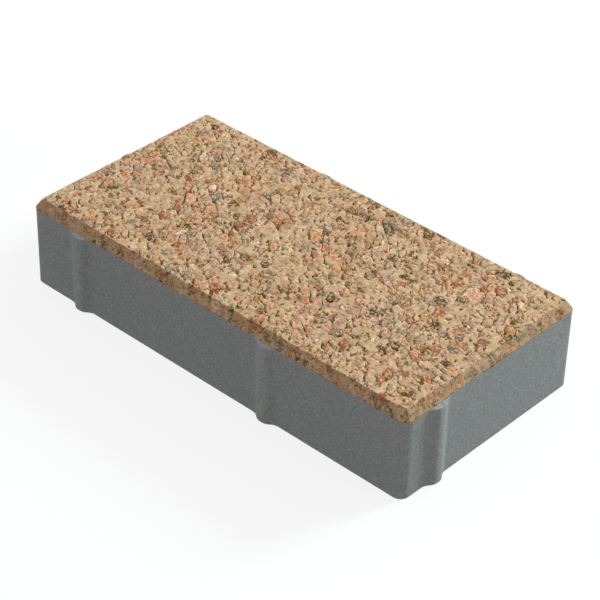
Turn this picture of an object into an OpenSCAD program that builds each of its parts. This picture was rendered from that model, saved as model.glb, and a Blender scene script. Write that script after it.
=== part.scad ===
// Rectangular concrete paving stone in two mixes: a grey base block with upright
// spacer ribs on its sides, and a thin exposed aggregate facing pressed onto it.
// Millimetres. The origin is the middle of the bedding face, the long side runs
// along X and the tread faces up, along +Z.

/* [Stone] */
// Length of the stone between its two short sides, spacer ribs not counted
stone_l = 200; // [180:1:300]
// Width of the stone between its two long sides, spacer ribs not counted
stone_w = 100; // [80:1:200]
// Thickness from the bedding face to the tread
stone_h = 40; // [30:1:100]
// Radius of the four upright corners
corner_r = 4; // [3.5:0.5:10]

/* [Facing] */
// Thickness of the aggregate facing, which the edge chamfer takes up in full
facing_t = 4.3; // [2:0.1:12]
// How far the chamfer runs in from the sides to the edge of the tread
chamfer_run = 3.2; // [1:0.1:3.4]

/* [Spacer ribs] */
// How far a rib stands out from the side that it is on
rib_h = 2.5; // [1:0.1:2.7]
// Width of a rib at its foot, where its hollow flanks run out into the side
rib_foot_w = 13.5; // [9:0.5:16]
// Width of the flat crest that bears on the next stone
rib_crest_w = 1; // [0.8:0.1:6]

/* [Rib places] */
// First rib of a long side: its middle, from the left end as seen from outside
long_rib_near = 29; // [18:1:100]
// Second rib of a long side: its middle, from the same end
long_rib_far = 131.5; // [60:0.5:162]
// The rib of the +X short side: its middle, from the left end as seen from outside
right_rib = 18; // [18:1:60]
// The rib of the -X short side: its middle, from the left end as seen from outside
left_rib = 46.5; // [18:0.5:60]

/* [Hidden] */
$fn = 96;

base_h = stone_h - facing_t;

// A rib's flank is an S of two equal arcs, hollow at the foot and round at the
// crest, which meet halfway up and run out flat at both ends.
flank_run = (rib_foot_w - rib_crest_w) / 2;
flank_r = (pow(rib_h, 2) + pow(flank_run, 2)) / (4 * rib_h);

// Depth to which a rib's section reaches into the block, to fuse with it
rib_root = corner_r;

// A flat rectangle from its middle, square to the axes
module plate(size_x, size_y) {
    square([size_x, size_y], center = true);
}

// Plan of the block without its ribs: a rectangle with round corners
module block_plan() {
    plate(stone_l, stone_w - 2 * corner_r);
    plate(stone_l - 2 * corner_r, stone_w);
    for (x = [-1, 1], y = [-1, 1])
        translate([x * (stone_l / 2 - corner_r), y * (stone_w / 2 - corner_r)])
            circle(r = corner_r);
}

// Lower half of a rib's section, with its two hollow flanks. The side that
// carries it is the line y = 0, and the rib stands out along -Y.
module rib_foot() {
    difference() {
        translate([-rib_foot_w / 2, -rib_h / 2])
            square([rib_foot_w, rib_h / 2 + rib_root]);
        for (s = [-1, 1])
            translate([s * rib_foot_w / 2, -flank_r])
                circle(r = flank_r);
    }
}

// Upper half of a rib's section: the flat crest between its two round shoulders
module rib_crest() {
    intersection() {
        translate([-rib_foot_w / 2, -rib_h])
            square([rib_foot_w, rib_h / 2]);
        union() {
            translate([-rib_crest_w / 2, -rib_h])
                square([rib_crest_w, rib_h]);
            for (s = [-1, 1])
                translate([s * rib_crest_w / 2, flank_r - rib_h])
                    circle(r = flank_r);
        }
    }
}

// Ribs of one side, each at its distance from the left end as seen from outside.
// The side lies at the front, along X, before it is turned into its place.
module side_ribs(turn, side_l, depth, places) {
    rotate(turn)
        for (place = places)
            translate([place - side_l / 2, -depth / 2]) {
                rib_foot();
                rib_crest();
            }
}

// Plan of the block with the ribs of all four sides. The back is the front
// turned half round, so that two stones laid side by side keep one joint.
module ribbed_plan() {
    block_plan();
    for (turn = [0, 180])
        side_ribs(turn, stone_l, stone_w, [long_rib_near, long_rib_far]);
    side_ribs(90, stone_w, stone_l, [right_rib]);
    side_ribs(-90, stone_w, stone_l, [left_rib]);
}

// Half of a bevelled section, upright: square to the middle, with the chamfer
// as its outer edge
module bevel_half(reach) {
    polygon([[0, 0], [reach, 0], [reach - chamfer_run, facing_t], [0, facing_t]]);
}

// Bar with both long edges bevelled, along Y before it is turned
module bevelled_bar(size_x, length) {
    rotate([90, 0, 0])
        linear_extrude(height = length, center = true)
            for (side = [0, 1])
                mirror([side, 0])
                    bevel_half(size_x / 2);
}

// Bevelled plate with round corners: two crossed bars and a quarter cone in
// each of the corners that they leave
module bevelled_plate() {
    corner_x = stone_l / 2 - corner_r;
    corner_y = stone_w / 2 - corner_r;
    bevelled_bar(stone_l, 2 * corner_y);
    rotate(90)
        bevelled_bar(stone_w, 2 * corner_x);
    for (x = [0, 1], y = [0, 1])
        mirror([x, 0, 0])
            mirror([0, y, 0])
                translate([corner_x, corner_y, 0])
                    rotate_extrude(angle = 90)
                        bevel_half(corner_r);
}

// Grey concrete that carries the stone, with its spacer ribs
module base_block() {
    color("#6b706d")
        linear_extrude(height = base_h)
            ribbed_plan();
}

// Beige aggregate facing that makes the tread and its chamfer
module facing_layer() {
    color("#c4a27c")
        translate([0, 0, base_h])
            bevelled_plate();
}

base_block();
facing_layer();
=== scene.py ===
"""Looks of a concrete paving stone: a grey base block with spacer ribs, and a facing of
crushed stone in sandy mortar, washed rough on the tread and pressed smooth on the chamfer.

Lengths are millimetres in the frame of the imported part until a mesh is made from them.
"""

import math

import bpy
import numpy as np
from mathutils import Matrix, Vector


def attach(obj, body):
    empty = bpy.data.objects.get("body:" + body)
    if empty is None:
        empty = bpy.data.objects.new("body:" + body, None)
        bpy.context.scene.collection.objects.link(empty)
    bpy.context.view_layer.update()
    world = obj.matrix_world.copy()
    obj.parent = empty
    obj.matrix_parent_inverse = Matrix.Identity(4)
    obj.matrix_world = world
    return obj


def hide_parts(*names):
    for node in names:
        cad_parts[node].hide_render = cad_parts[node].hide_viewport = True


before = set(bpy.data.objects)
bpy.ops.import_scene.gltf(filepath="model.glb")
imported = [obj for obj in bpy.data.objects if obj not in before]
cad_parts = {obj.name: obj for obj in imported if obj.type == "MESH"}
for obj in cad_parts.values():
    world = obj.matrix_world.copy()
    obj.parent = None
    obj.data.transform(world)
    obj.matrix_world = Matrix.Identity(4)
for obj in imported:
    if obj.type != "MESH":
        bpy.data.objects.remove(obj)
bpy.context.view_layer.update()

MM = 0.001


# Sizes that the frame gives

def node_points(name):
    """Vertices of a CAD node, in millimetres."""
    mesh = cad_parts[name].data
    flat = np.empty(len(mesh.vertices) * 3, np.float32)
    mesh.vertices.foreach_get("co", flat)
    return flat.reshape(-1, 3).astype(float) / MM


# Lengths below this one count as nothing
TINY = 0.01

base_points = node_points("base_block")
facing_points = node_points("facing_layer")
HALF_L, HALF_W, TREAD_Z = facing_points.max(0)
JOINT_Z = facing_points[:, 2].min()
tread_points = facing_points[facing_points[:, 2] > TREAD_Z - TINY]
CHAMFER_RUN = HALF_L - tread_points[:, 0].max()
CHAMFER_DROP = TREAD_Z - JOINT_Z
CHAMFER_SLOPE = math.hypot(CHAMFER_RUN, CHAMFER_DROP)
front_points = facing_points[facing_points[:, 1] < TINY - HALF_W]
CORNER_R = HALF_L - front_points[:, 0].max()
RIB_H = base_points[:, 0].max() - HALF_L


# Camera of the photograph, fitted to the straight edges of the stone

CAMERA_TURN = math.radians(42.147)
CAMERA_RISE = math.radians(35.757)
CAMERA_ROLL = math.radians(1.554)
CAMERA_AWAY = 859.1
AIM_RIGHT = 2.16
AIM_UP = 11.67
FOCAL_PX = 2130.7
PICTURE_PX = 600
SENSOR_WIDTH = 36.0
CLIP_START = 50


def make_camera():
    """Camera that sees the stone as the photograph does."""
    turn, rise = CAMERA_TURN, CAMERA_RISE
    back = Vector((math.sin(turn) * math.cos(rise), -math.cos(turn) * math.cos(rise), math.sin(rise)))
    level_right = Vector((math.cos(turn), math.sin(turn), 0))
    level_up = back.cross(level_right)
    roll_cos, roll_sin = math.cos(CAMERA_ROLL), math.sin(CAMERA_ROLL)
    right = roll_cos * level_right + roll_sin * level_up
    up = roll_cos * level_up - roll_sin * level_right
    data = bpy.data.cameras.new("camera")
    data.sensor_width = SENSOR_WIDTH
    data.lens = FOCAL_PX / PICTURE_PX * SENSOR_WIDTH
    data.clip_start = CLIP_START * MM
    camera = bpy.data.objects.new("camera", data)
    bpy.context.scene.collection.objects.link(camera)
    stand = (back * CAMERA_AWAY + right * AIM_RIGHT + up * AIM_UP) * MM
    axes = Matrix((right, up, back)).transposed().to_4x4()
    camera.matrix_world = Matrix.Translation(stand) @ axes
    bpy.context.scene.camera = camera


# Helpers for meshes

def make_piece(name, points, faces, material, flat_faces=0):
    """Smooth object of points in millimetres and faces of point numbers, the last few of them flat."""
    mesh = bpy.data.meshes.new(name)
    mesh.from_pydata((np.asarray(points) * MM).tolist(), [], faces)
    smooth = np.arange(len(faces)) < len(faces) - flat_faces
    mesh.polygons.foreach_set("use_smooth", smooth)
    mesh.materials.append(material)
    mesh.validate()
    piece = bpy.data.objects.new(name, mesh)
    bpy.context.scene.collection.objects.link(piece)
    return piece


def set_values(piece, name, values):
    """Number for each point of a piece, which its material reads by name."""
    attribute = piece.data.attributes.new(name, "FLOAT", "POINT")
    attribute.data.foreach_set("value", np.asarray(values, np.float32))


BAKE_MAP = "OFBake"


def set_bake_map(piece, places):
    """Place of each face corner on the flat map that looks can be baked to."""
    layer = piece.data.uv_layers.new(name=BAKE_MAP)
    layer.uv.foreach_set("vector", np.asarray(places, np.float32).ravel())


# Large odd numbers that scramble the place of a lattice point
HASH_AXES = np.array([73856093, 19349663, 83492791], np.int64)
HASH_SEED = 15485863
HASH_ROUNDS = ((13, 1274126177), (16, 668265263))
HASH_MASK = 0x7FFFFFFF
HASH_LAST = 15
HASH_LEVELS = 65536


def lattice_values(corners, seed):
    """Chance value from -1 to 1 for each lattice point, always the same for one seed."""
    key = (corners * HASH_AXES[:corners.shape[1]]).sum(1) + seed * HASH_SEED
    for shift, factor in HASH_ROUNDS:
        key = (key ^ (key >> shift)) * factor & HASH_MASK
    return (key ^ (key >> HASH_LAST)) % HASH_LEVELS / ((HASH_LEVELS - 1) / 2) - 1


def lattice_noise(points, cell, seed):
    """Smooth noise from -1 to 1 at points of two or three coordinates, with bumps about cell wide."""
    points = np.asarray(points, float) / cell
    low = np.floor(points).astype(np.int64)
    part = points - low
    part = part * part * (3 - 2 * part)
    axes = points.shape[1]
    total = np.zeros(len(points))
    for corner in range(2 ** axes):
        step = np.array([(corner >> axis) & 1 for axis in range(axes)])
        total += lattice_values(low + step, seed) * np.prod(np.where(step == 1, part, 1 - part), axis=1)
    return total


# Helpers for shaders

def linear(hex_colour):
    """Scene-linear colour of a display colour such as #c9ab80."""
    shown = [int(hex_colour[i:i + 2], 16) / 255 for i in (1, 3, 5)]
    return tuple(c / 12.92 if c <= 0.04045 else ((c + 0.055) / 1.055) ** 2.4 for c in shown)


def palette(**shown):
    return {name: linear(hex_colour) for name, hex_colour in shown.items()}


def new_material(name, specular):
    material = bpy.data.materials.new(name)
    material.use_nodes = True
    tree = material.node_tree
    shader = tree.nodes["Principled BSDF"]
    shader.inputs["Specular IOR Level"].default_value = specular
    return material, tree, shader


def plug(tree, socket, value):
    """Sets an input to a number, a colour or another node's output."""
    if isinstance(value, bpy.types.NodeSocket):
        tree.links.new(value, socket)
    elif socket.type == "RGBA" and len(value) == 3:
        socket.default_value = (*value, 1)
    else:
        socket.default_value = value


def add_node(tree, kind, values=None, **settings):
    node = tree.nodes.new(kind)
    for name, value in settings.items():
        setattr(node, name, value)
    for name, value in (values or {}).items():
        plug(tree, node.inputs[name], value)
    return node


def place(tree):
    """Place in the piece's own coordinates, along and across the grain if the material has one."""
    grain = tree.nodes.get("grain")
    return grain.outputs[0] if grain else add_node(tree, "ShaderNodeTexCoord").outputs["Object"]


def noise(tree, size, detail=2.0, roughness=0.5, output="Fac"):
    """Noise from 0 to 1 in the piece's own coordinates, with bumps about size millimetres wide."""
    values = {"Vector": place(tree), "Scale": 1 / (size * MM), "Detail": detail, "Roughness": roughness}
    return add_node(tree, "ShaderNodeTexNoise", values).outputs[output]


def vector_maths(tree, operation, values):
    return add_node(tree, "ShaderNodeVectorMath", values, operation=operation).outputs[0]


# Waver of the edges of cells, as a share of their width
CELL_WAVER = 0.35


def cells(tree, size):
    """Three chance values from 0 to 1 for each cell about size millimetres wide, with wavering edges."""
    stir = vector_maths(tree, "SUBTRACT", {0: noise(tree, size, output="Color"), 1: (0.5, 0.5, 0.5)})
    stir = vector_maths(tree, "SCALE", {0: stir, "Scale": 2 * CELL_WAVER * size * MM})
    moved = vector_maths(tree, "ADD", {0: place(tree), 1: stir})
    cell = add_node(tree, "ShaderNodeTexVoronoi", {"Vector": moved, "Scale": 1 / (size * MM)})
    return add_node(tree, "ShaderNodeSeparateColor", {"Color": cell.outputs["Color"]}).outputs[:3]


def value_of(tree, name):
    return add_node(tree, "ShaderNodeAttribute", attribute_name=name).outputs["Fac"]


def remap(tree, value, low, high, to_low, to_high):
    values = {"Value": value, "From Min": low, "From Max": high, "To Min": to_low, "To Max": to_high}
    return add_node(tree, "ShaderNodeMapRange", values).outputs["Result"]


def share_of(tree, value, low, high, most):
    """Share that rises from none to most while a value goes from low to high."""
    return remap(tree, value, low, high, 0.0, most)


def blend(tree, share, first, second, mode="MIX"):
    node = add_node(tree, "ShaderNodeMix", data_type="RGBA", blend_type=mode)
    plug(tree, node.inputs[0], share)
    plug(tree, node.inputs[6], first)
    plug(tree, node.inputs[7], second)
    return node.outputs[2]


def maths(tree, operation, first, second):
    return add_node(tree, "ShaderNodeMath", {0: first, 1: second}, operation=operation).outputs[0]


def bump(tree, height, depth, strength):
    """Normal of a relief that is depth millimetres deep."""
    values = {"Height": height, "Distance": depth * MM, "Strength": strength}
    return add_node(tree, "ShaderNodeBump", values).outputs["Normal"]


# Grey concrete

CONCRETE = palette(
    dark="#757877", pale="#9b9e9d", warm="#908a7e", speck="#5f6260", cloud="#838786", worn="#b0b2ae"
)
CONCRETE_SPECULAR = 0.5

# Widths of its sand, its clouds, the patches of wear, the changes of sheen and the pressed grain, and the
# depth of that grain
CONCRETE_SAND = 0.5
CONCRETE_CLOUD = 9.0
CONCRETE_WEAR = 1.6
CONCRETE_SHEEN = 1.2
CONCRETE_GRAIN = 0.6
CONCRETE_RELIEF = 0.1


def make_concrete():
    """Fine pressed concrete of the base block: sand of warm and cool tints, clouds, and pale worn edges."""
    material, tree, shader = new_material("base_concrete", CONCRETE_SPECULAR)
    tint, warm, speck = cells(tree, CONCRETE_SAND)
    grey = blend(tree, tint, CONCRETE["dark"], CONCRETE["pale"])
    grey = blend(tree, share_of(tree, warm, 0.6, 0.9, 0.35), grey, CONCRETE["warm"])
    grey = blend(tree, share_of(tree, speck, 0.85, 0.95, 0.4), grey, CONCRETE["speck"])
    cloud = share_of(tree, noise(tree, CONCRETE_CLOUD, 3.0, 0.55), 0.35, 0.65, 0.4)
    grey = blend(tree, cloud, grey, CONCRETE["cloud"])
    patches = share_of(tree, noise(tree, CONCRETE_WEAR, 3.0), 0.4, 0.65, 0.45)
    worn = maths(tree, "MULTIPLY", value_of(tree, "worn"), patches)
    grey = blend(tree, worn, grey, CONCRETE["worn"])
    matt = remap(tree, noise(tree, CONCRETE_SHEEN, 3.0), 0.3, 0.7, 0.56, 0.70)
    matt = maths(tree, "ADD", matt, maths(tree, "MULTIPLY", worn, 0.2))
    grain = noise(tree, CONCRETE_GRAIN, 3.0, 0.7)
    plug(tree, shader.inputs["Base Color"], grey)
    plug(tree, shader.inputs["Roughness"], matt)
    plug(tree, shader.inputs["Normal"], bump(tree, grain, CONCRETE_RELIEF, 0.8))
    return material


# Crushed stone in mortar

# Direction in which the stones and their mottles are drawn out, and by how much
GRAIN_TURN = math.radians(132)
GRAIN_DRAW = 1.18

# The darkest colour, for the hollows and the chamfer's gaps, is painted shade and not a colour of the mortar
MORTAR = palette(
    body="#d8b68e", dark="#ba9656", pale="#ead2bc", pink="#c58d6a", speck="#877344",
    rosy="#c89a7c", grey="#a8925a", hollow="#443e0a"
)
MINERAL = palette(pale="#e4c8b2", pink="#c17a4e", dark="#5c4714")
# Multiplies the colour of the pressed chamfer: partly its skin's own darker colour, partly painted shade that
# keeps the chamfer darker than the tread
PRESSED_TINT_AND_SHADE = linear("#d8dad6")
AGGREGATE_SPECULAR = 0.08

# Widths of the mortar's sand, of its rosy and grey patches, of the shades and minerals in a stone, of the
# patches of mortar film, and of the fine grain on all of them, and the depth of that grain
MORTAR_SAND = 0.8
ROSY_PATCH = 2.6
GREY_PATCH = 2.2
STONE_SHADE = 2.0
MINERAL_SIZE = 0.7
FILM_PATCH = 1.3
AGGREGATE_GRAIN = 0.5
AGGREGATE_RELIEF = 0.2


def mortar_colour(tree):
    """Colour of the mortar: sand grains of several tints, with pink and grey stone dust in patches."""
    tint, pink, speck = cells(tree, MORTAR_SAND)
    sand = blend(tree, tint, MORTAR["dark"], MORTAR["pale"])
    sand = blend(tree, share_of(tree, pink, 0.7, 0.8, 0.7), sand, MORTAR["pink"])
    sand = blend(tree, share_of(tree, speck, 0.86, 0.92, 0.6), sand, MORTAR["speck"])
    body = blend(tree, 0.5, sand, MORTAR["body"])
    rosy = share_of(tree, noise(tree, ROSY_PATCH, 3.0), 0.47, 0.6, 0.6)
    body = blend(tree, rosy, body, MORTAR["rosy"])
    grey = share_of(tree, noise(tree, GREY_PATCH, 3.0, output="Color"), 0.5, 0.62, 0.6)
    return blend(tree, grey, body, MORTAR["grey"])


def stone_colour(tree):
    """Colour of the crushed stone: each has its own, shaded and mottled with minerals."""
    own = add_node(tree, "ShaderNodeAttribute", attribute_name="stone_colour").outputs["Color"]
    shade = remap(tree, noise(tree, STONE_SHADE, 2.0), 0.4, 0.65, 1.12, 0.75)
    own = vector_maths(tree, "SCALE", {0: own, "Scale": shade})
    pale, pink, dark = cells(tree, MINERAL_SIZE)
    colour = blend(tree, share_of(tree, pale, 0.66, 0.74, 0.6), own, MINERAL["pale"])
    colour = blend(tree, share_of(tree, pink, 0.76, 0.82, 0.6), colour, MINERAL["pink"])
    return blend(tree, share_of(tree, dark, 0.78, 0.84, 0.6), colour, MINERAL["dark"])


def make_aggregate():
    """Crushed stone with a film of mortar, with painted shade in the hollows, and a pressed chamfer darkened
    partly by its own skin and partly as painted shade.
    """
    material, tree, shader = new_material("aggregate", AGGREGATE_SPECULAR)
    drawn = {"Vector": place(tree), "Rotation": (0, 0, -GRAIN_TURN), "Scale": (1 / GRAIN_DRAW, GRAIN_DRAW, 1)}
    add_node(tree, "ShaderNodeMapping", drawn, name="grain")
    pressed = value_of(tree, "pressed")
    film = maths(tree, "ADD", noise(tree, FILM_PATCH, 3.0, 0.65), value_of(tree, "film"))
    film = share_of(tree, film, 0.94, 1.08, 0.92)
    film = maths(tree, "MAXIMUM", film, maths(tree, "MULTIPLY", pressed, 0.12))
    colour = blend(tree, film, stone_colour(tree), mortar_colour(tree))
    # Painted shade: the hollows and the chamfer's gaps are darkened toward dark olive
    hollow = maths(tree, "MULTIPLY", value_of(tree, "hollow"), 0.8)
    colour = blend(tree, hollow, colour, MORTAR["hollow"])
    # Partly painted shade: the whole chamfer is darkened
    colour = blend(tree, pressed, colour, PRESSED_TINT_AND_SHADE, "MULTIPLY")
    grain = noise(tree, AGGREGATE_GRAIN, 3.0, 0.6)
    strength = remap(tree, pressed, 0.0, 1.0, 0.4, 0.25)
    plug(tree, shader.inputs["Base Color"], colour)
    plug(tree, shader.inputs["Roughness"], remap(tree, film, 0.0, 1.0, 0.72, 0.95))
    plug(tree, shader.inputs["Normal"], bump(tree, grain, AGGREGATE_RELIEF, strength))
    return material


# Base block

# Length of the steps along its outline and up its sides
BASE_STEP = 0.6

# Radius of its eased edges, and the steps round each
EDGE_ROUND = 0.12
EDGE_STEPS = 3

# Mean depth of the grain, and its two kinds of bump as share, width and seed
BASE_GRAIN = 0.035
BASE_BUMPS = ((0.3, 1.3, 11), (0.2, 4.0, 12))

# Width of the worn strip along an edge, and the share of a rib's height above which its crest is worn
EDGE_WEAR = 0.9
CREST_WEAR = 0.8


def underside_loop():
    """Corner points of the block's underside with its ribs, in order and counterclockwise."""
    edges = set()
    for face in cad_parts["base_block"].data.polygons:
        corners = [base_points[i] for i in face.vertices]
        if max(corner[2] for corner in corners) < TINY:
            keys = [tuple(np.round(corner[:2], 3)) for corner in corners]
            edges.update(zip(keys, keys[1:] + keys[:1]))
    # The underside's faces run clockwise from above, so its border is followed backwards
    before = {second: first for first, second in edges if (second, first) not in edges}
    loop = [min(before)]
    while before[loop[-1]] != loop[0]:
        loop.append(before[loop[-1]])
    return np.array(loop)


def base_outline():
    """Outline of the block with its ribs, in even steps and a little smoothed."""
    loop = underside_loop()
    closed = np.vstack([loop, loop[:1]])
    reach = np.concatenate([[0], np.cumsum(np.linalg.norm(np.diff(closed, axis=0), axis=1))])
    count = round(reach[-1] / BASE_STEP)
    stops = np.arange(count) * reach[-1] / count
    even = np.stack([np.interp(stops, reach, closed[:, i]) for i in (0, 1)], 1)
    return (np.roll(even, 1, 0) + 2 * even + np.roll(even, -1, 0)) / 4


def base_rows():
    """Heights of the rings of points up the sides, each with how far its edge's rounding sets it in."""
    quarter = np.linspace(0, math.pi / 2, EDGE_STEPS + 1)[:-1]
    foot = [(EDGE_ROUND * (1 - math.cos(a)), EDGE_ROUND * (1 - math.sin(a))) for a in quarter]
    field = np.linspace(EDGE_ROUND, JOINT_Z - EDGE_ROUND, round(JOINT_Z / BASE_STEP))
    return foot + [(z, 0.0) for z in field] + [(JOINT_Z - z, inset) for z, inset in reversed(foot)]


def base_skin(outline, rows):
    """Points of the block's sides, ring by ring, sunk by the fine pressed grain."""
    along = np.roll(outline, -1, 0) - np.roll(outline, 1, 0)
    outward = np.stack([along[:, 1], -along[:, 0]], 1) / np.linalg.norm(along, axis=1)[:, None]
    rings = []
    for z, inset in rows:
        ring = np.column_stack([outline - outward * inset, np.full(len(outline), z)])
        sink = 0.5 + sum(share * lattice_noise(ring, width, seed) for share, width, seed in BASE_BUMPS)
        ring[:, :2] -= outward * (BASE_GRAIN * 2 * np.clip(sink, 0, 1))[:, None]
        rings.append(ring)
    return np.vstack(rings)


def base_wear(points):
    """1 on the edges and on the crests of the ribs, falling to 0 beside them."""
    to_edge = np.minimum(points[:, 2], JOINT_Z - points[:, 2])
    proud = np.maximum(np.abs(points[:, 0]) - HALF_L, np.abs(points[:, 1]) - HALF_W)
    crest = (proud / RIB_H - CREST_WEAR) / (1 - CREST_WEAR)
    return np.clip(np.maximum(1 - to_edge / EDGE_WEAR, crest), 0, 1)


def make_base(material):
    """Block with fine pressed grain on its sides and eased edges, closed above and below."""
    outline = base_outline()
    rows = base_rows()
    points = base_skin(outline, rows)
    number = np.arange(len(points)).reshape(len(rows), -1)
    beyond = np.roll(number, -1, 1)
    sides = np.stack([number[:-1], beyond[:-1], beyond[1:], number[1:]], -1).reshape(-1, 4)
    caps = [number[0, ::-1].tolist(), number[-1].tolist()]
    piece = make_piece("base_block_skin", points, sides.tolist() + caps, material, len(caps))
    set_values(piece, "worn", base_wear(points))
    map_base(piece, outline, len(rows))
    return piece


# Bake map of the block, from bottom to top: the underside, scaled and shifted into the lower half, its sides
# in strips, each a little less high than its share, and the hidden top in a sliver
UNDER_SCALE = 0.96
UNDER_SHIFT = -0.23
SIDES_FROM = 0.5
SIDES_HIGH = 0.48
SIDE_STRIPS = 4
STRIP_FILL = 0.95
TOP_FROM = 0.98
TOP_SCALE = 0.02


def map_base(piece, outline, rows):
    count = len(outline)
    across = 2 * np.abs(outline).max()
    under = (outline + across / 2) / across * (1, UNDER_SCALE) + (0, UNDER_SHIFT)
    column, row = np.meshgrid(np.arange(count), np.arange(rows - 1))
    along = column * SIDE_STRIPS / count
    strip = np.floor(along)
    left = along - strip
    right = left + SIDE_STRIPS / count
    strip_high = SIDES_HIGH / SIDE_STRIPS
    low = SIDES_FROM + (strip + STRIP_FILL * row / rows) * strip_high
    high = low + STRIP_FILL / rows * strip_high
    sides = np.stack([left, low, right, low, right, high, left, high], -1).reshape(-1, 2)
    top = under * (1, TOP_SCALE) + (0, TOP_FROM)
    set_bake_map(piece, np.vstack([sides, under[::-1], top]))


# Stones of the facing

SEED = 20

# Share of the stones, display colour, and how much mortar film clings to them
STONE_MIX = {
    "buff": (10, "#d4b28a", 0.46),
    "pale": (8, "#e5c4ae", 0.36),
    "blush": (8, "#dcac90", 0.30),
    "rose": (30, "#cfa082", 0.30),
    "salmon": (16, "#d4966c", 0.28),
    "orange": (2.5, "#d2845c", 0.24),
    "brick": (8, "#ae6a42", 0.26),
    "umber": (6, "#725826", 0.30),
    "ash": (5, "#a8907c", 0.36),
    "slate": (8, "#8f7f66", 0.34),
    "coal": (4, "#5a4a26", 0.28),
    # Pale quartz stones, partly painted glints: their pale colour stands in for glints
    "quartz": (0.05, "#f0dac4", 0.12),
}
KINDS = list(STONE_MIX)
KIND_SHARES = np.array([STONE_MIX[kind][0] for kind in KINDS])
KIND_SHARES = KIND_SHARES / KIND_SHARES.sum()
KIND_COLOURS = np.array([linear(STONE_MIX[kind][1]) for kind in KINDS])
KIND_FILMS = np.array([STONE_MIX[kind][2] for kind in KINDS])

# Stones that stand out on the tread in the photograph: kind, middle along X and Y, and size along and
# across the grain
# The quartz marks lie where glints show, and their pale colour there is a painted glint
TREAD_MARKS = (
    ("rose", -92, 36, 8, 6), ("coal", -87, 42, 5, 3), ("slate", -41, 38, 7, 5), ("pale", -73, 21, 9, 4),
    ("salmon", -73, 27, 4, 3), ("slate", -88, 12, 6, 3), ("slate", -69, 25, 5, 3), ("salmon", -50, 19, 8, 3),
    ("umber", -52, 25, 5, 3), ("slate", -64, 20, 5, 5), ("slate", -34, 18, 5, 3), ("slate", -48, 4, 8, 5),
    ("pale", -54, 7, 5, 4), ("buff", -54, 2, 6, 5), ("orange", -62, 1, 8, 3), ("salmon", -54, -5, 9, 6),
    ("salmon", -43, -5, 6, 6), ("salmon", -45, -10, 6, 3), ("orange", -54, -12, 9, 4),
    ("brick", -53, -21, 7, 5), ("umber", -41, -20, 5, 4), ("slate", -36, -23, 6, 4),
    ("brick", -35, -31, 4, 4), ("brick", -58, -28, 3, 3), ("brick", -27, 2, 6, 5), ("brick", -18, 7, 8, 6),
    ("brick", -3, -42, 6, 5), ("rose", -12, -37, 6, 4), ("brick", -59, -44, 5, 4), ("salmon", -86, -21, 7, 5),
    ("salmon", -67, -24, 4, 4), ("slate", -71, -36, 4, 3), ("slate", -23, 9, 5, 4), ("ash", -18, -10, 7, 4),
    ("slate", -10, -19, 6, 3), ("coal", -1, -17, 5, 4), ("coal", -2, 27, 4, 3), ("slate", 15, 38, 9, 6),
    ("brick", 76, 33, 6, 5), ("blush", 70, 24, 11, 10), ("salmon", 94, 16, 9, 4), ("orange", 92, 1, 6, 3),
    ("brick", 79, 8, 4, 3), ("brick", 68, 6, 6, 5), ("slate", 49, 23, 5, 3), ("umber", 43, 15, 4, 4),
    ("slate", 18, 12, 8, 5), ("slate", 62, 9, 4, 3), ("rose", 62, -18, 9, 4), ("coal", 33, -16, 4, 5),
    ("salmon", 34, -10, 4, 3), ("brick", 24, -14, 4, 3), ("brick", 78, -15, 4, 3), ("slate", 86, -8, 6, 4),
    ("coal", 90, -16, 4, 3), ("coal", 70, -21, 4, 4), ("quartz", 61, -24, 3, 2), ("slate", 48, -30, 6, 5),
    ("brick", 56, -35, 6, 4), ("salmon", 13, -35, 5, 4), ("salmon", 23, -43, 5, 5), ("salmon", 3, -27, 6, 4),
    ("brick", 91, -28, 5, 4), ("brick", 51, -39, 5, 3), ("pale", 0, 18, 5, 3), ("quartz", 17, -1, 2, 2),
    ("quartz", -3, -13, 2, 2), ("pale", 22, 27, 4, 3),
)

# Stones that stand out on the chamfer: kind, middle along X and Y with the chamfer laid out flat, and
# size along X and Y
RIM_MARKS = (
    ("salmon", -68, -50, 5, 4), ("slate", -86, -50, 3, 3), ("brick", -49, -50, 4, 3),
    ("brick", -42, -48, 6, 4), ("brick", -10, -48, 6, 4), ("slate", -10, -51, 3, 2),
    ("salmon", 15, -50, 6, 5), ("brick", 26, -48, 5, 4), ("slate", 37, -50, 5, 4), ("brick", 45, -49, 4, 3),
    ("salmon", 67, -50, 5, 4), ("salmon", 77, -49, 5, 4), ("slate", 90, -50, 3, 3),
    ("salmon", 100, 9, 6, 8), ("slate", 99, 0, 4, 5),
    ("salmon", 99, -36, 4, 5), ("salmon", 99, -30, 5, 7), ("salmon", 100, -24, 4, 5),
    ("slate", 100, -12, 3, 6), ("slate", 99, 15, 3, 4), ("brick", -27, -50, 5, 4), ("salmon", -35, -49, 4, 3),
    ("salmon", 41, -52, 4, 3), ("brick", 98, -39, 3, 4), ("rose", 100, 24, 5, 7), ("rose", 99, 32, 5, 6),
    ("brick", 100, 40, 5, 5), ("rose", 100, -44, 4, 5),
)
MARKS = TREAD_MARKS + RIM_MARKS

# These stones keep a share of their mean radius clear, lie this deep and have less film than their kind
MARK_ROOM = 0.9
MARK_SINK = 0.2
MARK_FILM = -0.25

# Chance stones: how many are tried and how often, their middle radius, its spread on a log scale and its
# limits, the share of two radii that keeps two stones apart, and their length and width as shares of it
STONES_TRIED = 3800
PLACES_TRIED = 20
STONE_RADIUS = 1.28
STONE_SPREAD = 0.42
STONE_LIMITS = (0.5, 3.6)
STONE_SPACING = 0.8
STONE_LENGTH = (1.1, 1.55)
STONE_WIDTH = (0.64, 0.88)

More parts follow.
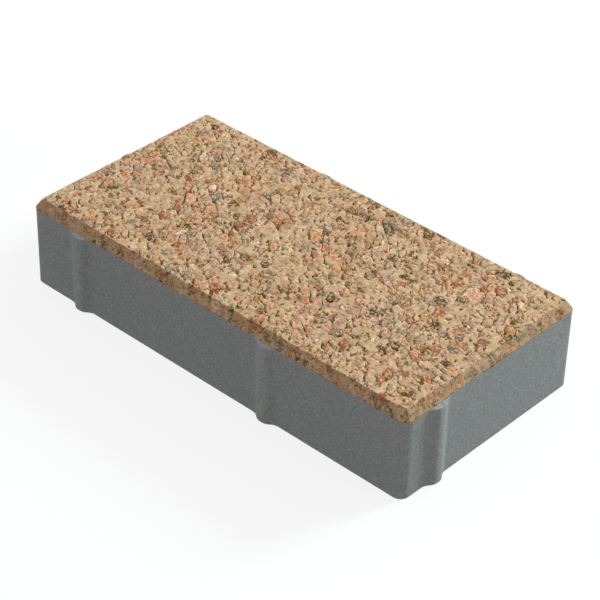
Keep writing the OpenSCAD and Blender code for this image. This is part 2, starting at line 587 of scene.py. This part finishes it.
# How stones differ: depth of their tops, turn, tilt, film, brightness and tint, and the share of clean ones
SINK_LIMITS = (0.15, 0.65)
TURN_SPREAD = math.radians(25)
TILT_SPREAD = 0.12
FILM_SPREAD = 0.08
SHADE_SPREAD = 0.1
TINT_SPREAD = (0.03, 0.03, 0.06)
CLEAN_SHARE = 0.1

# Broken faces round a stone, how far each strays from its even turn, and how far out it lies
FACETS = 6
FACET_STRAY = 0.4
FACET_LIMITS = (0.8, 1.05)

# Side of the stones that was washed out most, and how much they lean that way
WASHED_SIDE = np.array([0.67, -0.74])
WASHED_TILT = 0.25


def unroll(line, half):
    """Places along one axis with the chamfer laid out flat beside the tread."""
    past = np.maximum(np.abs(line) - (half - CHAMFER_RUN), 0)
    return line + np.sign(line) * past * (CHAMFER_SLOPE / CHAMFER_RUN - 1)


class Scatter:
    """Places for stones on the unrolled mould that keep a share of their radii apart."""

    CELL = 8.0

    def __init__(self):
        self.buckets = {}

    def bucket(self, spot):
        return int(spot[0] // self.CELL), int(spot[1] // self.CELL)

    def fits(self, spot, radius):
        column, row = self.bucket(spot)
        for i in (column - 1, column, column + 1):
            for j in (row - 1, row, row + 1):
                for u, v, other in self.buckets.get((i, j), ()):
                    apart = STONE_SPACING * (radius + other)
                    if (u - spot[0]) ** 2 + (v - spot[1]) ** 2 < apart ** 2:
                        return False
        return True

    def put(self, spot, radius):
        self.buckets.setdefault(self.bucket(spot), []).append((*spot, radius))

    def fill(self, rng, radii):
        """Spots and radii of as many stones as find room, the largest first."""
        reach = np.array([unroll(half, half) for half in (HALF_L, HALF_W)])
        found = []
        for radius in sorted(radii, reverse=True):
            for spot in rng.uniform(-reach, reach, (PLACES_TRIED, 2)).tolist():
                if self.fits(spot, radius):
                    self.put(spot, radius)
                    found.append((*spot, radius))
                    break
        found = np.array(found)
        return found[:, :2], found[:, 2]


def draw_stones(rng):
    """Stones of the facing: those of the photograph, and chance ones between them."""
    mark_kinds = np.array([KINDS.index(mark[0]) for mark in MARKS])
    marks = np.array([mark[1:] for mark in MARKS], float)
    mark_spots, mark_sizes = marks[:, :2], marks[:, 2:] / 2
    scatter = Scatter()
    for spot, size in zip(mark_spots.tolist(), mark_sizes):
        scatter.put(spot, MARK_ROOM * math.sqrt(size[0] * size[1]))
    radii = rng.lognormal(math.log(STONE_RADIUS), STONE_SPREAD, STONES_TRIED)
    spots, radii = scatter.fill(rng, np.clip(radii, *STONE_LIMITS))
    stretch = np.array([STONE_LENGTH, STONE_WIDTH])
    sizes = radii[:, None] * rng.uniform(stretch[:, 0], stretch[:, 1], (len(radii), 2))
    chance_kinds = rng.choice(len(KINDS), len(radii), p=KIND_SHARES)
    films = KIND_FILMS[chance_kinds] + rng.normal(0, FILM_SPREAD, len(radii))
    kinds = np.concatenate([mark_kinds, chance_kinds])
    total = len(kinds)
    turns = rng.normal(GRAIN_TURN, TURN_SPREAD, total)
    turns[:len(TREAD_MARKS)] = GRAIN_TURN
    turns[len(TREAD_MARKS):len(MARKS)] = 0
    sinks = rng.uniform(*SINK_LIMITS, total)
    sinks[:len(MARKS)] = MARK_SINK
    shades = rng.normal(1, SHADE_SPREAD, (total, 1))
    tints = rng.normal(1, TINT_SPREAD, (total, 3))
    tilts = rng.normal(0, TILT_SPREAD, (total, 2)) - WASHED_TILT * WASHED_SIDE
    clean = rng.random(len(radii)) < CLEAN_SHARE
    strays = rng.uniform(-FACET_STRAY, FACET_STRAY, (total, FACETS))
    return {
        "spot": np.vstack([mark_spots, spots]),
        "size": np.vstack([mark_sizes, sizes]),
        "turn": turns,
        "sink": sinks,
        "tilt": tilts,
        "film": np.concatenate([KIND_FILMS[mark_kinds] + MARK_FILM, films]),
        "clean": np.concatenate([np.ones(len(MARKS)), clean]),
        "colour": np.clip(KIND_COLOURS[kinds] * shades * tints, 0, 1),
        "angles": (np.arange(FACETS) + strays) * 2 * math.pi / FACETS,
        "facet": rng.uniform(*FACET_LIMITS, (total, FACETS)),
    }


# Facing: crushed stone in mortar, all one surface that lies some depth under the mould

# Spacing of its grid on the tread, rows of the grid across the chamfer, and pieces that it is cut into
GRID = 0.24
RIM_ROWS = 14
STRIPS = 4

# A bump is height, width and seed. Mortar: its mean depth, its waves and how steep they are, the fine bumps
# on all of it, how softly it meets the stones, and the depth to which it is cleared off the clean ones
WASH = 0.5
WAVES = ((0.15, 4.5, 21), (0.12, 2.4, 22))
WAVE_STEEPNESS = 3
FINE_BUMPS = ((0.08, 1.3, 25), (0.04, 0.6, 27))
MORTAR_BLEND = 0.15
CLEAN_DEPTH = 0.2

# Stones: waver of their outline, how round they are, the share of their radius that is flat on top, how
# steeply they fall off beyond it and how far, and the reach within which a stone is worked out, in radii
WAVERS = ((0.4, 1.3, 31), (0.4, 1.3, 32))
ROUNDNESS = 0.2
FLAT_TOP = 0.7
SHOULDER_POWER = 3
STONE_HEIGHT = 0.6
STONE_REACH = 1.5

# Depth of a stone, and distance from its middle, where there is none
NO_STONE = 9.0

# Gaps washed out beside the stones: their depth, their middle and half width as shares of the radius, how far
# they go round from the washed side, and the bumps that choose where they are
GAP_DEPTH = 1.1
GAP_MIDDLE = 1.05
GAP_WIDTH = 0.18
GAP_ROUND = 0.2
GAP_BUMPS = (2.2, 1.8, 26)

# Hollows are what lies deeper than the mean of so many grid steps all round; painted shade darkens them,
# fully at this depth
HOLLOW_STEPS = 4
HOLLOW_SHADE_DEPTH = 0.38

# Least and most depth of the tread, and how it meets the chamfer: its depth there, the share of its relief
# that is left, and the distance over which the rest comes in
DEPTH_LIMITS = (0.02, 2.8)
ARRIS_DROP = 0.3
ARRIS_RELIEF = 0.5
ARRIS_RAMP = 1.2

# Chamfer: mean depth of its skin, bumps as a share of that, share of a gap's depth that is left, the
# distance over which the skin thins out to the lower edge, and how dark the painted shade in a gap is
RIM_DEPTH = 0.05
RIM_BUMPS = (0.8, 1.1, 23)
RIM_GAPS = 0.25
RIM_FOOT = 0.8
RIM_GAP_SHADE = 0.8

# Mortar film that is added: toward the edge of a stone, where the mortar covers it on the tread, and on the
# chamfer, less where the stone is clean
EDGE_FILM = 0.3
TREAD_FILM = 0.42
TREAD_FILM_FROM = -0.2
TREAD_FILM_SPAN = 0.6
RIM_FILM = 0.04
RIM_CLEAN_FILM = -0.2


def axis_lines(half):
    """Grid lines along one axis, with one on each edge of the chamfer."""
    inner = half - CHAMFER_RUN
    rim = np.linspace(inner, half, RIM_ROWS + 1)
    field = np.linspace(-inner, inner, round(2 * inner / GRID) + 1)
    return np.concatenate([-rim[::-1], field[1:-1], rim])


def round_corners(x, y):
    """Moves points of a square-cornered plan into the round-cornered one, ring by ring."""
    past_x = np.maximum(np.abs(x) - (HALF_L - CORNER_R), 0)
    past_y = np.maximum(np.abs(y) - (HALF_W - CORNER_R), 0)
    reach = np.hypot(past_x, past_y)
    pull = np.where(reach > 0, np.maximum(past_x, past_y) / np.maximum(reach, TINY), 1)
    new_x = np.sign(x) * (np.minimum(np.abs(x), HALF_L - CORNER_R) + past_x * pull)
    new_y = np.sign(y) * (np.minimum(np.abs(y), HALF_W - CORNER_R) + past_y * pull)
    return new_x, new_y


def smooth_min(first, second, reach):
    share = np.clip(0.5 + 0.5 * (second - first) / reach, 0, 1)
    return second * (1 - share) + first * share - reach * share * (1 - share)


def blur(field, steps):
    """Mean over a square of grid points, taken twice for a soft edge."""
    count = 2 * steps + 1
    for axis in (0, 1, 0, 1):
        wide = np.pad(field, [(steps + 1, steps) if a == axis else (0, 0) for a in (0, 1)], mode="edge")
        total = np.cumsum(wide, axis=axis)
        ahead = np.take(total, range(count, total.shape[axis]), axis=axis)
        behind = np.take(total, range(total.shape[axis] - count), axis=axis)
        field = (ahead - behind) / count
    return field


class Facing:
    """Surface of the facing: pressed flush on the chamfer, and washed out between the stones on the tread."""

    def __init__(self, stones):
        self.x_lines, self.y_lines = axis_lines(HALF_L), axis_lines(HALF_W)
        self.u_lines, self.v_lines = unroll(self.x_lines, HALF_L), unroll(self.y_lines, HALF_W)
        self.u, self.v = np.meshgrid(self.u_lines, self.v_lines)
        edge_x, edge_y = HALF_L - np.abs(self.x_lines), HALF_W - np.abs(self.y_lines)
        self.inside = np.minimum(*np.meshgrid(edge_x, edge_y))
        self.stone_depth = np.full(self.u.shape, NO_STONE)
        self.far = np.full(self.u.shape, NO_STONE)
        self.film = np.ones(self.u.shape)
        self.colour = np.ones((*self.u.shape, 4))
        self.gap = np.zeros(self.u.shape)
        self.clean = np.zeros(self.u.shape)
        waver = [self.bumps(*bumps) for bumps in WAVERS]
        for stone in zip(*stones.values()):
            self.set_stone(waver, *stone)
        self.settle()

    def bumps(self, height, width, seed):
        """Bumps up and down to a height, drawn out along the grain."""
        along = self.u * math.cos(GRAIN_TURN) + self.v * math.sin(GRAIN_TURN)
        across = self.v * math.cos(GRAIN_TURN) - self.u * math.sin(GRAIN_TURN)
        places = np.column_stack([along.ravel() / GRAIN_DRAW, across.ravel() * GRAIN_DRAW])
        return height * lattice_noise(places, width, seed).reshape(self.u.shape)

    def set_stone(self, waver, spot, size, turn, sink, tilt, film, clean, colour, angles, facet):
        """Lays one angular stone where it lies above the others."""
        reach = STONE_REACH * max(size)
        left, right = np.searchsorted(self.u_lines, (spot[0] - reach, spot[0] + reach))
        low, high = np.searchsorted(self.v_lines, (spot[1] - reach, spot[1] + reach))
        window = np.s_[low:high, left:right]
        du = self.u[window] - spot[0] + waver[0][window]
        dv = self.v[window] - spot[1] + waver[1][window]
        along = (du * math.cos(turn) + dv * math.sin(turn)) / size[0]
        across = (dv * math.cos(turn) - du * math.sin(turn)) / size[1]
        straight = [(along * math.cos(a) + across * math.sin(a)) / f for a, f in zip(angles, facet)]
        far = ROUNDNESS * np.hypot(along, across) + (1 - ROUNDNESS) * np.maximum.reduce(straight)
        shoulder = np.maximum(far - FLAT_TOP, 0) / (1 - FLAT_TOP)
        lift = STONE_HEIGHT * math.sqrt(size[0] * size[1])
        depth = sink - tilt[0] * du - tilt[1] * dv + lift * shoulder ** SHOULDER_POWER
        above = depth < self.stone_depth[window]
        self.stone_depth[window][above] = depth[above]
        self.far[window][above] = far[above]
        self.film[window][above] = film
        self.clean[window][above] = clean
        self.colour[window][above, :3] = colour
        ring = np.exp(-((far - GAP_MIDDLE) / GAP_WIDTH) ** 2)
        side = (du * WASHED_SIDE[0] + dv * WASHED_SIDE[1]) / np.maximum(np.hypot(du, dv), TINY)
        ring = ring * np.clip(GAP_ROUND + side, 0, 1)
        self.gap[window] = np.maximum(self.gap[window], ring)

    def settle(self):
        """Works out how high the surface lies, and what covers it."""
        gap = self.gap * np.clip(self.bumps(*GAP_BUMPS), 0, 1)
        mortar_depth = self.mortar(gap)
        depth = smooth_min(self.stone_depth, mortar_depth, MORTAR_BLEND)
        depth = depth + sum(self.bumps(*bumps) for bumps in FINE_BUMPS)
        tread, rim = self.tread(depth), self.rim(gap)
        self.height = np.maximum(np.minimum(tread, rim), JOINT_Z)
        self.pressed = rim < tread
        # Painted shade, darkest in hollows on the tread and in gaps on the chamfer
        hollow = np.clip((depth - blur(depth, HOLLOW_STEPS)) / HOLLOW_SHADE_DEPTH, 0, 1)
        self.hollow = np.where(self.pressed, RIM_GAP_SHADE * gap ** 2, hollow)
        buried = self.stone_depth - mortar_depth
        covered = TREAD_FILM * np.clip((buried - TREAD_FILM_FROM) / TREAD_FILM_SPAN, 0, 1)
        covered = np.where(self.pressed, RIM_FILM + RIM_CLEAN_FILM * self.clean, covered)
        film = self.film + EDGE_FILM * np.clip(self.far, 0, 1) ** 2 + covered
        self.film = np.where(self.far > 1, 1, film)

    def mortar(self, gap):
        """Depth of the mortar, which leaves the clean stones bare."""
        waves = [height * np.tanh(self.bumps(WAVE_STEEPNESS, width, seed)) for height, width, seed in WAVES]
        depth = WASH + sum(waves) + GAP_DEPTH * gap
        bare = self.clean * (self.far < 1)
        return np.where(bare > 0, np.maximum(depth, self.stone_depth + CLEAN_DEPTH), depth)

    def tread(self, depth):
        """Height of the washed tread, calmer and a little lower toward the chamfer."""
        ramp = np.clip((self.inside - CHAMFER_RUN) / ARRIS_RAMP, 0, 1)
        relief = ARRIS_RELIEF + (1 - ARRIS_RELIEF) * ramp
        depth = ARRIS_DROP + (depth - ARRIS_DROP) * relief
        return TREAD_Z - np.clip(depth, *DEPTH_LIMITS)

    def rim(self, gap):
        """Height of the chamfer's plane, carried on over the tread, under its pressed skin."""
        skin = RIM_DEPTH * (1 + self.bumps(*RIM_BUMPS)) + RIM_GAPS * GAP_DEPTH * gap
        plane = JOINT_Z + CHAMFER_DROP * self.inside / CHAMFER_RUN
        return plane - skin * np.clip(self.inside / RIM_FOOT, 0, 1)

    def make(self, material):
        """Closed bodies of the facing, side by side along X."""
        cuts = np.linspace(0, len(self.x_lines) - 1, STRIPS + 1).round().astype(int)
        return [self.make_strip(i, cuts[i], cuts[i + 1], material) for i in range(STRIPS)]

    def make_strip(self, index, first, last, material):
        strip = np.s_[:, first:last + 1]
        x, y = np.meshgrid(self.x_lines[first:last + 1], self.y_lines)
        number = np.arange(x.size).reshape(x.shape)
        x, y = round_corners(x.ravel(), y.ravel())
        points = np.column_stack([x, y, self.height[strip].ravel()])
        faces = np.stack([number[:-1, :-1], number[:-1, 1:], number[1:, 1:], number[1:, :-1]], -1)
        closing = closing_faces(number, index)
        faces = faces.reshape(-1, 4).tolist() + closing
        piece = make_piece(f"facing_{index + 1}", points, faces, material, len(closing))
        set_values(piece, "film", self.film[strip].ravel())
        set_values(piece, "hollow", self.hollow[strip].ravel())
        set_values(piece, "pressed", self.pressed[strip].ravel())
        colours = piece.data.color_attributes.new("stone_colour", "FLOAT_COLOR", "POINT")
        colours.data.foreach_set("color", self.colour[strip].astype(np.float32).ravel())
        map_strip(piece, points, len(closing))
        return piece


def closing_faces(number, index):
    """Underside of a strip from its grid of point numbers, and its cut ends where other strips meet it."""
    inner_left, inner_right = index > 0, index < STRIPS - 1
    right = [] if inner_right else number[1:-1, -1].tolist()
    left = [] if inner_left else number[1:-1, 0].tolist()
    border = number[0].tolist() + right + number[-1, ::-1].tolist() + left[::-1]
    closing = [border[::-1]]
    if inner_left:
        closing.append(number[:, 0].tolist())
    if inner_right:
        closing.append(number[::-1, -1].tolist())
    return closing


# Bake map of a strip, from bottom to top: its surface, its underside at a smaller scale, and its cut ends
SURFACE_HIGH = 0.5
UNDERSIDE_SCALE = 0.8
ENDS_FROM = 0.92
END_STEP = 0.04
END_HIGH = 0.03


def map_strip(piece, points, closing):
    mesh = piece.data
    corners = np.empty(len(mesh.loops), np.int32)
    mesh.loops.foreach_get("vertex_index", corners)
    x, y, z = points[corners].T
    left, right = points[:, 0].min(), points[:, 0].max()
    along = (y + HALF_W) / (2 * HALF_W)
    across = SURFACE_HIGH * (x - left) / (right - left)
    under, *ends = [np.s_[face.loop_start:face.loop_start + face.loop_total]
                    for face in mesh.polygons[-closing:]]
    across[under] = SURFACE_HIGH + UNDERSIDE_SCALE * across[under]
    for i, end in enumerate(ends):
        across[end] = ENDS_FROM + END_STEP * i + END_HIGH * (z[end] - JOINT_Z) / CHAMFER_DROP
    set_bake_map(piece, np.column_stack([along, across]))


# Stage

# The lamp: direction from the stone, distance and width in metres, watts and colour
LAMP_TOWARDS = Vector((0.32, 0.80, 0.50))
LAMP_AWAY = 1.3
LAMP_WIDTH = 0.35
LAMP_POWER = 15.2
LAMP_COLOUR = (0.82, 1.0, 1.0)

# Strength of the light from all round, and white of the studio where it is looked at
SKY = 0.68
WHITE = (1.0, 1.0, 1.0)

# Half the floor's width in metres, its own glow where it is looked at, and what it throws back at the stone
FLOOR_HALF = 3.0
FLOOR_GLOW = 0.8
FLOOR_BOUNCE = (0.25, 0.25, 0.25)


def seen_directly(tree):
    """1 where the camera, a mirror or glass looks at the surface, else 0."""
    path = add_node(tree, "ShaderNodeLightPath").outputs
    seen = maths(tree, "MAXIMUM", path["Is Camera Ray"], path["Is Glossy Ray"])
    return maths(tree, "MAXIMUM", seen, path["Is Transmission Ray"])


def make_floor():
    """Pale floor that glows enough to look white and still shows the stone's shadow."""
    material = bpy.data.materials.new("pale_floor")
    material.use_nodes = True
    tree = material.node_tree
    tree.nodes.clear()
    seen = seen_directly(tree)
    matte = add_node(tree, "ShaderNodeBsdfDiffuse", {"Color": blend(tree, seen, FLOOR_BOUNCE, WHITE)})
    glow = add_node(tree, "ShaderNodeEmission", {"Color": WHITE, "Strength": 1.0})
    share = maths(tree, "MULTIPLY", seen, FLOOR_GLOW)
    mix = add_node(tree, "ShaderNodeMixShader", {0: share, 1: matte.outputs[0], 2: glow.outputs[0]})
    add_node(tree, "ShaderNodeOutputMaterial", {"Surface": mix.outputs[0]})
    half = FLOOR_HALF / MM
    corners = [(-half, -half, 0), (half, -half, 0), (half, half, 0), (-half, half, 0)]
    make_piece("floor", corners, [(0, 1, 2, 3)], material, 1)


def make_light():
    """Even white light from all round, and one soft lamp behind the stone and above it."""
    world = bpy.data.worlds.new("studio")
    bpy.context.scene.world = world
    world.use_nodes = True
    tree = world.node_tree
    background = tree.nodes["Background"]
    plug(tree, background.inputs["Color"], WHITE)
    plug(tree, background.inputs["Strength"], remap(tree, seen_directly(tree), 0.0, 1.0, SKY, 1.0))
    data = bpy.data.lights.new("window", "AREA")
    data.shape = "DISK"
    data.size = LAMP_WIDTH
    data.energy = LAMP_POWER
    data.color = LAMP_COLOUR
    lamp = bpy.data.objects.new("window", data)
    bpy.context.scene.collection.objects.link(lamp)
    towards = LAMP_TOWARDS.normalized()
    lamp.location = towards * LAMP_AWAY
    lamp.rotation_euler = towards.to_track_quat("Z", "Y").to_euler()


# Scene

bpy.context.scene.view_settings.view_transform = "Standard"
make_camera()
make_floor()
make_light()
base = make_base(make_concrete())
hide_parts("base_block")
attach(base, "root")
stones = draw_stones(np.random.default_rng(SEED))
for piece in Facing(stones).make(make_aggregate()):
    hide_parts("facing_layer")
    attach(piece, "root")

bpy.context.view_layer.update()
